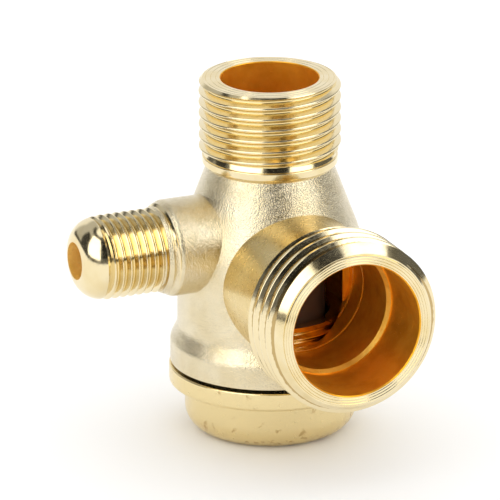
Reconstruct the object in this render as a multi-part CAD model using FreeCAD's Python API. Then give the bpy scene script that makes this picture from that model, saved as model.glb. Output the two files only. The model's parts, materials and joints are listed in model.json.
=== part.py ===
import FreeCAD, Part
import math
import os

from FreeCAD import Placement, Rotation, Vector

# Three-port non-return valve for an air compressor, in millimetres.
# The cap's foot stands on z = 0 and the valve's axis is Z. The inlet looks up, the outlet looks
# along -Y and the unloader port along -X. Each port is turned about its own axis.

# External threads, as plain cylinders at their major diameter
INLET_THREAD_R = 16.662 / 2       # G 3/8
OUTLET_THREAD_R = 20.955 / 2      # G 1/2
UNLOADER_THREAD_R = 9.9 / 2       # M10 x 1
CAP_THREAD_R = 18.0 / 2           # M18 x 1

# Fits and gaps between pieces
THREAD_CLEARANCE = 0.05
GUIDE_CLEARANCE = 0.08
DISC_CLEARANCE = 0.05
SCREW_CLEARANCE = 0.05
SEAT_GAP = 0.02
STOP_GAP = 0.05

# Bottom cap
HEAD_R = 10.1
HEAD_HEIGHT = 5.75
HEAD_ROUND = 2.8
FLANGE_OVERHANG = 0.15           # beyond the body's foot ring
FLANGE_THICKNESS = 2.2
FLANGE_ROUND = 0.35
FLANGE_TOP_ROUND = 0.2
SKIRT_LENGTH = 6.7
SKIRT_CHAMFER = 0.5
POCKET_FLOOR = 1.6
HEX_ACROSS_FLATS = 8.0
HEX_DEPTH = 4.4
BOSS_R = 3.6
BOSS_HEIGHT = 1.4
BOSS_CHAMFER = 0.4

# Seal ring, squashed between the cap's flange and the body's foot
FLANGE_GAP = 0.4
RING_RECESS_DEPTH = 0.7
RING_WIDTH = 1.6
RING_SIDE_GAP = 0.1
RING_ROUND = 0.45

# Body, from the foot up
FOOT_RING_WALL = 1.0              # outside the seal ring's recess
FOOT_RING_HEIGHT = 2.7
FOOT_RING_ROUND = 1.4
FOOT_EDGE_ROUND = 0.1
NECKING_HEIGHT = 1.8
NECKING_ROUND = 2.0
BARREL_WALL = 1.9                 # outside the chamber
SHOULDER_HEIGHT = 14.6
SHOULDER_ROUND = 12.0
BELL_TOP_R = 7.22
BELL_TOP_HEIGHT = 24.65
LIP_R = 7.95
LIP_HEIGHT = 1.05
GROOVE_R = 7.55
GROOVE_HEIGHT = 0.88
INLET_THREAD_LENGTH = 8.07
INLET_LEAD_IN = 0.35
INLET_BORE_R = 5.75
INLET_BORE_DEPTH = 13.5
THROAT_R = 4.5
DRILL_POINT_ANGLE = 59.0          # from the axis, as a 118 degree drill leaves it

# Chamber and seat
SEAT_HEIGHT = 12.55               # above the body's foot
SEAT_LIP_HEIGHT = 0.6
SEAT_LIP_WIDTH = 0.9
CHAMBER_ROUND = 0.6

# Outlet port
OUTLET_HEIGHT = 11.5              # above the body's foot
OUTLET_FACE = 25.15
OUTLET_THREAD_END = 17.2
OUTLET_LEAD_IN = 1.35
OUTLET_BACK_CHAMFER = 0.5
OUTLET_NECK_R = 8.8
OUTLET_COUNTERBORE_R = 7.92
OUTLET_SHOULDER = 17.2
OUTLET_BORE_R = 7.4
OUTLET_SHOULDER_CHAMFER = 0.25
OUTLET_FACE_CHAMFER = 0.15
THROAT_WALL = 1.8

# Unloader port
UNLOADER_HEIGHT = 15.42           # above the body's foot
UNLOADER_TIP = 24.75
UNLOADER_NOSE = 3.35
UNLOADER_NOSE_R = 4.45
UNLOADER_NOSE_ROUND = 2.3
UNLOADER_THREAD_END = 14.8
UNLOADER_NECK_R = 5.7
UNLOADER_NECK_CONE = 1.2
UNLOADER_NECK_ROUND = 0.4
UNLOADER_HOLE_R = 2.22
UNLOADER_HOLE_DEPTH = 9.5
UNLOADER_DRILLING_R = 1.25

# Shutter, with its disc, washer and screw
SHUTTER_R = 6.45
SHUTTER_WALL = 1.4
SHUTTER_WEB = 1.4
SHUTTER_CHAMFER = 0.3
DISC_R = 5.75
DISC_THICKNESS = 2.0
DISC_PROUD = 0.4
DISC_ROUND = 0.2
WASHER_R = 3.4
WASHER_THICKNESS = 0.5
SCREW_R = 1.45
SCREW_HEAD_R = 2.7
SCREW_HEAD_HEIGHT = 1.3
SCREW_HEAD_ROUND = 0.35
SCREW_TIP = 1.0
SCREW_TIP_CHAMFER = 0.4
SLOT_WIDTH = 0.8
SLOT_DEPTH = 0.65
LIFT = 3.5

# Return spring
SPRING_WIRE_R = 0.35
SPRING_R = 4.25
SPRING_TURNS = 7

# Radii that follow from the cap's thread outwards
CHAMBER_R = CAP_THREAD_R + THREAD_CLEARANCE
RING_INNER_R = CAP_THREAD_R + RING_SIDE_GAP
RING_OUTER_R = RING_INNER_R + RING_WIDTH
RING_RECESS_R = RING_OUTER_R + RING_SIDE_GAP
BARREL_R = CHAMBER_R + BARREL_WALL
FOOT_RING_R = RING_RECESS_R + FOOT_RING_WALL
FLANGE_R = FOOT_RING_R + FLANGE_OVERHANG

# Heights that follow from the sizes above
FLANGE_TOP = HEAD_HEIGHT + FLANGE_THICKNESS
BODY_FOOT = FLANGE_TOP + FLANGE_GAP
SKIRT_TOP = FLANGE_TOP + SKIRT_LENGTH
POCKET_Z = HEX_DEPTH + POCKET_FLOOR
OUTLET_Z = BODY_FOOT + OUTLET_HEIGHT
UNLOADER_Z = BODY_FOOT + UNLOADER_HEIGHT
BELL_TOP = BODY_FOOT + BELL_TOP_HEIGHT
GROOVE_Z = BELL_TOP + LIP_HEIGHT
THREAD_Z = GROOVE_Z + GROOVE_HEIGHT
INLET_FACE = THREAD_Z + INLET_THREAD_LENGTH
SEAT_Z = BODY_FOOT + SEAT_HEIGHT
CHAMBER_TOP = SEAT_Z + SEAT_LIP_HEIGHT
DISC_TOP = SEAT_Z - SEAT_GAP
DISC_SEAT = DISC_TOP - DISC_THICKNESS
SHUTTER_TOP = DISC_TOP - DISC_PROUD
SHUTTER_WEB_Z = DISC_SEAT - SHUTTER_WEB
SHUTTER_FOOT = POCKET_Z + STOP_GAP + LIFT
SHUTTER_BORE_R = SHUTTER_R - SHUTTER_WALL
GUIDE_R = SHUTTER_R + GUIDE_CLEARANCE

UP = Vector(0, 0, 1)
ORIGIN = Vector(0, 0, 0)


def turned(corners):
    """A solid of revolution about Z. Each corner is (radius, height) or (radius, height, rounding)."""
    points = [Vector(c[0], 0, c[1]) for c in corners]
    rounds = [c[2] if len(c) > 2 else 0.0 for c in corners]
    arcs = []
    for i, point in enumerate(points):
        before = points[i - 1] - point
        after = points[(i + 1) % len(points)] - point
        if not rounds[i]:
            arcs.append((point, point, point))
            continue
        half = before.getAngle(after) / 2
        room = 0.49 * min(before.Length, after.Length)
        reach = min(rounds[i] / math.tan(half), room)
        radius = reach * math.tan(half)
        start = point + before.normalize() * reach
        end = point + after.normalize() * reach
        inward = (before + after).normalize()
        middle = point + inward * (radius / math.sin(half) - radius)
        arcs.append((start, middle, end))
    edges = []
    for i, (start, middle, end) in enumerate(arcs):
        if (end - start).Length > 1e-6:
            edges.append(Part.Arc(start, middle, end).toShape())
        following = arcs[(i + 1) % len(arcs)][0]
        if (following - end).Length > 1e-6:
            edges.append(Part.makeLine(end, following))
    return Part.Face(Part.Wire(edges)).revolve(ORIGIN, UP, 360)


def cylinder(radius, bottom, top):
    return Part.makeCylinder(radius, top - bottom, Vector(0, 0, bottom), UP)


def along_outlet(shape):
    """Turns a shape made along +Z from the valve's axis so that it points along the outlet."""
    placed = shape.copy()
    placed.Placement = Placement(Vector(0, 0, OUTLET_Z), Rotation(Vector(1, 0, 0), 90))
    return placed


def along_unloader(shape):
    """The same for the unloader port."""
    placed = shape.copy()
    placed.Placement = Placement(Vector(0, 0, UNLOADER_Z), Rotation(Vector(0, 1, 0), -90))
    return placed


def drill_point(radius_from, radius_to):
    """The height of the cone that a drill leaves between two radii."""
    return (radius_from - radius_to) / math.tan(math.radians(DRILL_POINT_ANGLE))


def body_outside():
    """The forging and its turned ends: the bell with the inlet thread, and the two side ports."""
    lead_in = INLET_FACE - INLET_LEAD_IN
    ring_top = BODY_FOOT + FOOT_RING_HEIGHT
    bell = turned([
        (0, BODY_FOOT),
        (FOOT_RING_R, BODY_FOOT, FOOT_EDGE_ROUND),
        (FOOT_RING_R, ring_top, FOOT_RING_ROUND),
        (BARREL_R, ring_top + NECKING_HEIGHT, NECKING_ROUND),
        (BARREL_R, BODY_FOOT + SHOULDER_HEIGHT, SHOULDER_ROUND),
        (BELL_TOP_R, BELL_TOP),
        (LIP_R, BELL_TOP),
        (LIP_R, GROOVE_Z),
        (GROOVE_R, GROOVE_Z),
        (GROOVE_R, THREAD_Z),
        (INLET_THREAD_R, THREAD_Z),
        (INLET_THREAD_R, lead_in),
        (INLET_THREAD_R - INLET_LEAD_IN, INLET_FACE),
        (0, INLET_FACE),
    ])
    outlet = turned([
        (0, 0),
        (OUTLET_NECK_R, 0),
        (OUTLET_NECK_R, OUTLET_THREAD_END),
        (OUTLET_THREAD_R - OUTLET_BACK_CHAMFER, OUTLET_THREAD_END),
        (OUTLET_THREAD_R, OUTLET_THREAD_END + OUTLET_BACK_CHAMFER),
        (OUTLET_THREAD_R, OUTLET_FACE - OUTLET_LEAD_IN),
        (OUTLET_THREAD_R - OUTLET_LEAD_IN, OUTLET_FACE),
        (0, OUTLET_FACE),
    ])
    nose_start = UNLOADER_TIP - UNLOADER_NOSE
    unloader = turned([
        (0, 0),
        (UNLOADER_NECK_R, 0),
        (UNLOADER_NECK_R, UNLOADER_THREAD_END - UNLOADER_NECK_CONE, UNLOADER_NECK_ROUND),
        (UNLOADER_THREAD_R, UNLOADER_THREAD_END),
        (UNLOADER_THREAD_R, nose_start),
        (UNLOADER_NOSE_R, UNLOADER_TIP, UNLOADER_NOSE_ROUND),
        (0, UNLOADER_TIP),
    ])
    return bell.fuse([along_outlet(outlet), along_unloader(unloader)])


def seat_lip():
    """The raised ring that the disc closes on."""
    outer = cylinder(THROAT_R + SEAT_LIP_WIDTH, SEAT_Z, CHAMBER_TOP)
    return outer.cut(cylinder(THROAT_R, SEAT_Z, CHAMBER_TOP))


def valve_body():
    shoulder_z = INLET_FACE - INLET_BORE_DEPTH
    inlet_passage = turned([
        (0, SEAT_Z),
        (THROAT_R, SEAT_Z),
        (THROAT_R, shoulder_z - drill_point(INLET_BORE_R, THROAT_R)),
        (INLET_BORE_R, shoulder_z),
        (INLET_BORE_R, INLET_FACE),
        (0, INLET_FACE),
    ])
    chamber = turned([
        (0, BODY_FOOT),
        (RING_RECESS_R, BODY_FOOT),
        (RING_RECESS_R, BODY_FOOT + RING_RECESS_DEPTH),
        (CHAMBER_R, BODY_FOOT + RING_RECESS_DEPTH),
        (CHAMBER_R, CHAMBER_TOP, CHAMBER_ROUND),
        (0, CHAMBER_TOP),
    ]).cut(seat_lip())
    outlet_passage = turned([
        (0, THROAT_R + THROAT_WALL),
        (OUTLET_BORE_R, THROAT_R + THROAT_WALL),
        (OUTLET_BORE_R, OUTLET_SHOULDER - OUTLET_SHOULDER_CHAMFER),
        (OUTLET_BORE_R + OUTLET_SHOULDER_CHAMFER, OUTLET_SHOULDER),
        (OUTLET_COUNTERBORE_R, OUTLET_SHOULDER),
        (OUTLET_COUNTERBORE_R, OUTLET_FACE - OUTLET_FACE_CHAMFER),
        (OUTLET_COUNTERBORE_R + OUTLET_FACE_CHAMFER, OUTLET_FACE),
        (0, OUTLET_FACE),
    ])
    hole_end = UNLOADER_TIP - UNLOADER_HOLE_DEPTH
    unloader_passage = turned([
        (0, THROAT_R / 2),
        (UNLOADER_DRILLING_R, THROAT_R / 2),
        (UNLOADER_DRILLING_R, hole_end - drill_point(UNLOADER_HOLE_R, UNLOADER_DRILLING_R)),
        (UNLOADER_HOLE_R, hole_end),
        (UNLOADER_HOLE_R, UNLOADER_TIP),
        (0, UNLOADER_TIP),
    ])
    passages = [inlet_passage, chamber, along_outlet(outlet_passage), along_unloader(unloader_passage)]
    return body_outside().cut(passages).removeSplitter()


def hexagon(across_flats, bottom, top):
    """A hexagonal prism about Z with two flats facing +Y and -Y."""
    corner_r = across_flats / 2 / math.cos(math.radians(30))
    corners = []
    for i in range(7):
        angle = math.radians(60 * i)
        corners.append(Vector(corner_r * math.cos(angle), corner_r * math.sin(angle), bottom))
    return Part.Face(Part.makePolygon(corners)).extrude(Vector(0, 0, top - bottom))


def bottom_cap():
    """The screwed cap: a round head with a key socket, a flange, and the skirt that guides the shutter."""
    skirt_r = CAP_THREAD_R
    blank = turned([
        (0, 0),
        (HEAD_R, 0, HEAD_ROUND),
        (HEAD_R, HEAD_HEIGHT),
        (FLANGE_R, HEAD_HEIGHT, FLANGE_ROUND),
        (FLANGE_R, FLANGE_TOP, FLANGE_TOP_ROUND),
        (skirt_r, FLANGE_TOP),
        (skirt_r, SKIRT_TOP - SKIRT_CHAMFER),
        (skirt_r - SKIRT_CHAMFER, SKIRT_TOP),
        (0, SKIRT_TOP),
    ])
    pocket = turned([
        (0, POCKET_Z + BOSS_HEIGHT),
        (BOSS_R - BOSS_CHAMFER, POCKET_Z + BOSS_HEIGHT),
        (BOSS_R, POCKET_Z + BOSS_HEIGHT - BOSS_CHAMFER),
        (BOSS_R, POCKET_Z),
        (GUIDE_R, POCKET_Z),
        (GUIDE_R, SKIRT_TOP - SKIRT_CHAMFER),
        (GUIDE_R + SKIRT_CHAMFER, SKIRT_TOP),
        (0, SKIRT_TOP),
    ])
    return blank.cut([pocket, hexagon(HEX_ACROSS_FLATS, 0, HEX_DEPTH)])


def cap_seal_ring():
    """The rubber ring as it lies when the cap is tight, touching both faces."""
    top = BODY_FOOT + RING_RECESS_DEPTH
    return turned([
        (RING_INNER_R, FLANGE_TOP, RING_ROUND),
        (RING_OUTER_R, FLANGE_TOP, RING_ROUND),
        (RING_OUTER_R, top, RING_ROUND),
        (RING_INNER_R, top, RING_ROUND),
    ])


def shutter():
    """The cup that slides in the cap's skirt, with the disc's recess on top and the spring inside."""
    recess_r = DISC_R + DISC_CLEARANCE
    return turned([
        (SHUTTER_BORE_R, SHUTTER_FOOT),
        (SHUTTER_R, SHUTTER_FOOT, SHUTTER_CHAMFER),
        (SHUTTER_R, SHUTTER_TOP, SHUTTER_CHAMFER),
        (recess_r, SHUTTER_TOP),
        (recess_r, DISC_SEAT),
        (SCREW_R + SCREW_CLEARANCE, DISC_SEAT),
        (SCREW_R + SCREW_CLEARANCE, SHUTTER_WEB_Z),
        (SHUTTER_BORE_R, SHUTTER_WEB_Z),
    ])


def seal_disc():
    return turned([
        (SCREW_R + SCREW_CLEARANCE, DISC_SEAT),
        (DISC_R, DISC_SEAT),
        (DISC_R, DISC_TOP, DISC_ROUND),
        (SCREW_R + SCREW_CLEARANCE, DISC_TOP),
    ])


def disc_washer():
    top = DISC_TOP + WASHER_THICKNESS
    return turned([
        (SCREW_R + SCREW_CLEARANCE, DISC_TOP),
        (WASHER_R, DISC_TOP),
        (WASHER_R, top),
        (SCREW_R + SCREW_CLEARANCE, top),
    ])


def disc_screw():
    """A slotted cheese-head screw through the washer and disc into the shutter's web."""
    head = DISC_TOP + WASHER_THICKNESS
    top = head + SCREW_HEAD_HEIGHT
    tip = SHUTTER_WEB_Z - SCREW_TIP
    screw = turned([
        (0, tip),
        (SCREW_R - SCREW_TIP_CHAMFER, tip),
        (SCREW_R, tip + SCREW_TIP_CHAMFER),
        (SCREW_R, head),
        (SCREW_HEAD_R, head),
        (SCREW_HEAD_R, top, SCREW_HEAD_ROUND),
        (0, top),
    ])
    slot = Part.makeBox(
        2 * SCREW_HEAD_R, SLOT_WIDTH, SLOT_DEPTH,
        Vector(-SCREW_HEAD_R, -SLOT_WIDTH / 2, top - SLOT_DEPTH),
    )
    return screw.cut(slot)


def return_spring():
    """A wire helix between the cap's pocket and the shutter's web, with both ends ground flat."""
    length = SHUTTER_WEB_Z - POCKET_Z
    pitch = length / (SPRING_TURNS - 1)
    path = Part.makeLongHelix(pitch, length, SPRING_R)
    start = Part.Wire(Part.makeCircle(SPRING_WIRE_R, Vector(SPRING_R, 0, 0), Vector(0, 1, 0)))
    coil = Part.Wire(path.Edges).makePipeShell([start], True, True)
    coil.translate(Vector(0, 0, POCKET_Z))
    outer = SPRING_R + 2 * SPRING_WIRE_R
    return coil.common(cylinder(outer, POCKET_Z, SHUTTER_WEB_Z))


NODES = {
    "valve_body": valve_body,
    "bottom_cap": bottom_cap,
    "cap_seal_ring": cap_seal_ring,
    "return_spring": return_spring,
    "shutter": shutter,
    "seal_disc": seal_disc,
    "disc_washer": disc_washer,
    "disc_screw": disc_screw,
}


def main():
    os.makedirs("parts", exist_ok=True)
    for name, make in NODES.items():
        shape = make()
        if shape.ShapeType != "Solid" and len(shape.Solids) == 1:
            shape = shape.Solids[0]
        print(name, "solids", len(shape.Solids), "volume", round(shape.Volume, 1), "valid", shape.isValid())
        shape.exportStep(f"parts/{name}.step")


main()
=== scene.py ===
import json
import math
from types import SimpleNamespace

import bpy
from mathutils import Matrix, Vector


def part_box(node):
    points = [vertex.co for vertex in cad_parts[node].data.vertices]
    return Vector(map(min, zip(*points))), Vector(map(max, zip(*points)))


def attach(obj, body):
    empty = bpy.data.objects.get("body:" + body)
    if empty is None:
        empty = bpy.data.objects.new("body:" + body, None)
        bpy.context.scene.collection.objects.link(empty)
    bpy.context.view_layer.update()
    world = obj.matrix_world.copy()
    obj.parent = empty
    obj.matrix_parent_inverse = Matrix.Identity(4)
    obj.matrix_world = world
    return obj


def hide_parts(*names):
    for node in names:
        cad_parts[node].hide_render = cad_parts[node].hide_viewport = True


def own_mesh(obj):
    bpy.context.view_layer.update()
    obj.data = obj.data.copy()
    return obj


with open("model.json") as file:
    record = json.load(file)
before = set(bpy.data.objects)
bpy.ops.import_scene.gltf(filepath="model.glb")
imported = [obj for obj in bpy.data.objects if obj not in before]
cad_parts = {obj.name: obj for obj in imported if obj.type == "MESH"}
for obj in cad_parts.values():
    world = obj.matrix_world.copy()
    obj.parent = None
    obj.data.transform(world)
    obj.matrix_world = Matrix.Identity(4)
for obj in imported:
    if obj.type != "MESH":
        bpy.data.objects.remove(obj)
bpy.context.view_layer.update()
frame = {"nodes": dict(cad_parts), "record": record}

bl_info = {
    "name": "Non-return valve",
    "version": (1, 0, 0),
    "blender": (4, 5, 0),
    "location": "3D View > Sidebar > Valve",
    "description": "Dresses a brass non-return valve: forged body, turned threads, cap and shutter",
    "category": "Object",
}

MM = 0.001

# Fineness of the meshes
STEPS = 192                           # round a turned form
THREAD_STEPS = 156                    # round a pipe thread
FINE_STEPS = 100                      # round the unloader's thread
SPRING_STEPS = 32                     # along each turn of the spring
WIRE_ROUNDNESS = 3                    # of the spring's wire
ARC_STEP = math.radians(6)            # along a rounded corner
THREAD_ARC_STEP = math.radians(26)    # along a thread's crest or root
THREAD_HOLD = 0.015 * MM              # from such an arc to the point that holds the next face's shading
WELD = 0.001 * MM                     # points closer than this are merged
SHARP = math.radians(30)              # an edge that turns by more than this stays sharp

# Share of a segment that a rounding may use: beside another rounding, and beside a sharp corner
ROOM_SHARED = 0.49
ROOM_ALONE = 0.97

# Thread forms: a crest is flat with rounded edges, and a root is rounded
SPARE_TURNS = 4                       # beyond a thread's stretch, half of them at each end
PITCH_INLET = 1.337 * MM              # 19 threads to the inch
PITCH_OUTLET = 1.814 * MM             # 14 threads to the inch
PITCH_FINE = 1.0 * MM
PIPE_FLANK = math.radians(27.5)       # from the flank to the plane across the axis
METRIC_FLANK = math.radians(30)
INLET_FLAT = 0.16                     # share of the pitch
OUTLET_FLAT = 0.21                    # share of the pitch
PIPE_ROOT_ROUND = 0.12                # share of the pitch
INLET_CREST_ROUND = 0.16 * MM
OUTLET_CREST_ROUND = 0.12 * MM
FINE_DEPTH = 0.60 * MM
FINE_FLAT = 0.12 * MM
FINE_ROOT_ROUND = 0.09 * MM
FINE_CREST_ROUND = 0.04 * MM

# Small lengths and angles of the workshop
OVER = 0.1 * MM                       # how far a blank or a cutting form reaches past a finished face
JOIN = 0.2 * MM                       # how far a form runs into the one that it is joined to
BREAK = 0.15 * MM                     # rounding of a turned edge
SCORE = 0.04 * MM                     # depth and half width of a turning mark
FACE_MARKS = 3                        # turning marks on a port's flat face
MARK_PLACE = 0.6                      # of each mark in its own share of the face
DRILL_POINT = math.radians(59)        # from the axis, as a 118 degree drill leaves it
TOOL_MARKS = (7.2 * MM, 10.1 * MM)    # places of the marks in the outlet's inner bore

# Sizes of the patterns, in metres on the real piece. Real grit and tool marks are about 0.05 to 0.1 mm across
BLAST_GRAIN = 0.19 * MM               # drawn about twice as coarse, so that it shows
CAST_LUMPS = 1.6 * MM
FINE_GRAIN = 0.5 * MM                 # drawn some five times as coarse, so that it shows
PLAIN_GRAIN = 0.4 * MM                # drawn some four times as coarse
CHATTER = 0.22 * MM                   # drawn about twice as coarse
BLOTS = 1.5 * MM
CAST_PATCHES = 2.5 * MM
SATIN_PATCHES = 3.0 * MM
BORE_PATCHES = 2.0 * MM
ROOT_SHADE_EDGE = 0.06 * MM                 # how far the painted shade in the roots wanders to each side

METAL = {"Metallic": 1.0}
GRAIN_REACH = (0.3, 0.7)              # values of the grain's noise between which the gloss changes

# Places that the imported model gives, in metres
MOUNTS = {mount["name"]: mount for mount in frame["record"]["mounts"]}
BODY_LOW, BODY_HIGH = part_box("valve_body")
CAP_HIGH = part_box("bottom_cap")[1]
RING_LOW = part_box("cap_seal_ring")[0]
SPRING_LOW, SPRING_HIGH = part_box("return_spring")

BODY_FOOT = BODY_LOW.z
INLET_FACE = BODY_HIGH.z
OUTLET_FACE = -BODY_LOW.y
UNLOADER_TIP = -BODY_LOW.x
OUTLET_Z = MOUNTS["outlet_thread"]["pos_m"][2]
UNLOADER_Z = MOUNTS["unloader_thread"]["pos_m"][2]
FOOT_RING_R = BODY_HIGH.x
SKIRT_TOP = CAP_HIGH.z
FLANGE_R = CAP_HIGH.x
FLANGE_TOP = RING_LOW.z
POCKET_Z = SPRING_LOW.z
SHUTTER_WEB_Z = SPRING_HIGH.z


def radius_of(mount):
    """A mount's radius in metres."""
    return MOUNTS[mount]["dims"]["r_mm"] * MM


INLET_THREAD_R = radius_of("inlet_thread")
OUTLET_THREAD_R = radius_of("outlet_thread")
UNLOADER_THREAD_R = radius_of("unloader_thread")
INLET_BORE_R = radius_of("inlet_bore")
OUTLET_COUNTERBORE_R = radius_of("outlet_bore")
UNLOADER_HOLE_R = radius_of("unloader_bore")


def length(name, description, millimetres):
    """A length that a user may change."""
    return bpy.props.FloatProperty(
        name=name, description=description, default=millimetres * MM, unit="LENGTH", precision=5,
    )


def colour(name, description, code):
    """A colour that a user may change."""
    return bpy.props.StringProperty(name=name, description=description, default=code)


class VALVE_PG_body(bpy.types.PropertyGroup):
    """Sizes of the forging and its turned ports."""
    foot_ring_height: length("Foot ring height", "From the body's foot to the necking", 2.7)
    foot_ring_round: length("Foot ring rounding", "Upper edge of the foot ring", 1.4)
    necking_height: length("Necking height", "Step from the foot ring in to the barrel", 1.8)
    necking_round: length("Necking rounding", "Hollow above the foot ring", 2.0)
    barrel_radius: length("Barrel radius", "Forged barrel round the chamber", 10.95)
    shoulder_height: length("Shoulder height", "From the foot to the corner of the bell", 14.6)
    shoulder_round: length("Shoulder rounding", "Sweep of the bell from barrel to inlet", 12.0)
    bell_top_radius: length("Bell top radius", "Bell where it meets the inlet's lip", 7.22)
    bell_top_height: length("Bell top height", "From the foot to the inlet's lip", 24.65)
    lip_radius: length("Lip radius", "Turned lip below the inlet's relief groove", 7.95)
    lip_height: length("Lip height", "Turned lip above the bell", 0.66)
    lip_undercut: length("Lip undercut", "Chamfer under the lip, which looks at the bell", 0.5)
    lip_drop: length("Lip drop", "How far the lip's chamfer runs down over the bell", 0.65)
    groove_radius: length("Groove radius", "Bottom of the relief groove", 7.55)
    groove_height: length("Groove height", "Width of the relief groove", 0.62)
    inlet_lead_in: length("Inlet lead-in", "Chamfer that starts the inlet thread", 0.45)
    inlet_thread_depth: length("Inlet thread depth", "From crest to root", 0.80)
    inlet_crest: length("Inlet crest", "Height of a crest at the +X side", 40.80)
    inlet_bore_depth: length("Inlet bore depth", "From the inlet's face to the shoulder", 13.5)
    throat_radius: length("Throat radius", "Opening that the seat lip surrounds", 4.5)
    chamber_radius: length("Chamber radius", "Bore that the cap's skirt screws into", 9.05)
    seat_height: length("Seat height", "From the foot to the seat lip", 12.55)
    seat_lip_height: length("Seat lip height", "How far the lip stands out", 0.6)
    seat_lip_width: length("Seat lip width", "Width of the lip round the throat", 0.9)
    ring_recess_depth: length("Ring recess depth", "Recess in the foot that holds the seal ring", 0.7)
    ring_recess_radius: length("Ring recess radius", "Recess in the foot that holds the seal ring", 10.8)
    outlet_thread_end: length("Outlet thread end", "Where the outlet thread stops at its neck", 17.2)
    outlet_lead_in: length("Outlet lead-in", "Chamfer that starts the outlet thread", 1.35)
    outlet_back_chamfer: length("Outlet back chamfer", "Chamfer at the back of the outlet thread", 0.5)
    outlet_thread_depth: length("Outlet thread depth", "From crest to root", 0.95)
    outlet_crest: length("Outlet crest", "Distance of a crest at the +X side", 20.15)
    outlet_neck_radius: length("Outlet neck radius", "Plain neck behind the outlet thread", 8.8)
    outlet_bore_radius: length("Outlet bore radius", "Inner bore of the outlet", 7.4)
    outlet_shoulder: length("Outlet shoulder", "Step between counterbore and inner bore", 17.2)
    outlet_bore_end: length("Outlet bore end", "Blind end of the outlet bore, from the valve's axis", 6.3)
    unloader_thread_end: length("Unloader thread end", "Where the unloader thread stops at its neck", 14.8)
    unloader_crest: length("Unloader crest", "Distance of a crest at the top", 20.83)
    unloader_neck_radius: length("Unloader neck radius", "Cast neck behind the unloader thread", 5.7)
    unloader_neck_cone: length("Unloader neck cone", "Cone from the cast neck down to the thread", 1.4)
    unloader_neck_round: length("Unloader neck rounding", "Edge of the cast neck", 0.8)
    unloader_neck_cut: length("Unloader neck cut", "How far the fading thread stands off in the cone", 0.6)
    nose_length: length("Nose length", "Tapered, domed nose of the unloader port", 3.35)
    nose_radius: length("Nose radius", "Radius that the nose tapers to at its tip", 4.40)
    nose_round: length("Nose rounding", "Dome of the nose", 2.9)
    nose_fade: length("Nose fade", "Where the thread has run out, from the tip", 1.9)
    unloader_hole_depth: length("Unloader hole depth", "Wide part of the unloader's drilling", 9.5)
    drilling_radius: length("Drilling radius", "Narrow part of the unloader's drilling", 1.25)


class VALVE_PG_cap(bpy.types.PropertyGroup):
    """Sizes of the screwed cap."""
    head_radius: length("Head radius", "Round head below the flange", 10.1)
    head_height: length("Head height", "From the foot to the flange", 5.75)
    head_round: length("Head rounding", "Lower edge of the head", 2.8)
    flange_round: length("Flange rounding", "Lower edge of the flange", 0.35)
    flange_top_round: length("Flange top rounding", "Upper edge of the flange", 0.2)
    thread_radius: length("Thread radius", "Major radius of the skirt's thread", 9.0)
    guide_radius: length("Guide radius", "Bore that guides the shutter", 6.53)
    skirt_chamfer: length("Skirt chamfer", "Edges of the skirt's rim", 0.5)
    boss_radius: length("Boss radius", "Boss that centres the spring", 3.6)
    boss_height: length("Boss height", "Boss that centres the spring", 1.4)
    boss_chamfer: length("Boss chamfer", "Edge of the spring's boss", 0.4)
    socket_flats: length("Socket across flats", "Hexagon socket in the head", 8.0)
    socket_depth: length("Socket depth", "Hexagon socket in the head", 4.4)


class VALVE_PG_finish(bpy.types.PropertyGroup):
    """Colours as sRGB hex codes."""
    cast: colour("Cast brass", "Plated casting with a shot-blasted grain", "#E7DABA")
    neck: colour("Satin brass", "Plated neck, turned and tumbled", "#E5CE94")
    turned: colour("Turned brass", "Bright plated threads and lips", "#EDDDB4")
    bore: colour("Bored brass", "Bare brass inside the ports", "#FFBE3C")
    # Painted light: the bores' brass painted lighter for the small drilling, which takes more light
    lit_drilling: colour("Drilled brass", "Small port's drilling, brighter than the bores", "#FFDC84")
    shoulder: colour("Shoulder brass", "Cut edge of the outlet's shoulder", "#EFC65F")
    cap: colour("Cap brass", "Satin plated cap", "#EBD7A3")
    # Brown of the blots low on the cap, more of them towards its bottom
    blot_tone: colour("Stain", "Brown tarnish on the cap", "#A5793C")
    rubber: colour("Rubber", "Black nitrile rubber", "#1A1918")
    nylon: colour("Nylon", "Dark brown moulded nylon", "#3A2A1E")
    steel: colour("Steel", "Stainless steel", "#B9B8B4")
    spring: colour("Spring steel", "Drawn spring wire", "#8E8D8A")


class VALVE_PG_spring(bpy.types.PropertyGroup):
    """Sizes of the return spring."""
    wire_radius: length("Wire radius", "Half the wire's thickness", 0.35)
    coil_radius: length("Coil radius", "From the valve's axis to the middle of the wire", 4.25)
    turns: bpy.props.IntProperty(name="Turns", description="Open turns between the closed ends", default=5)
    end_turns: bpy.props.FloatProperty(
        name="End turns", description="Closed turns at each end, which are ground flat", default=1.0)
    end_rise: bpy.props.FloatProperty(
        name="End rise", description="Wire's middle above its ground end, over its radius", default=0.4)


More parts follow.
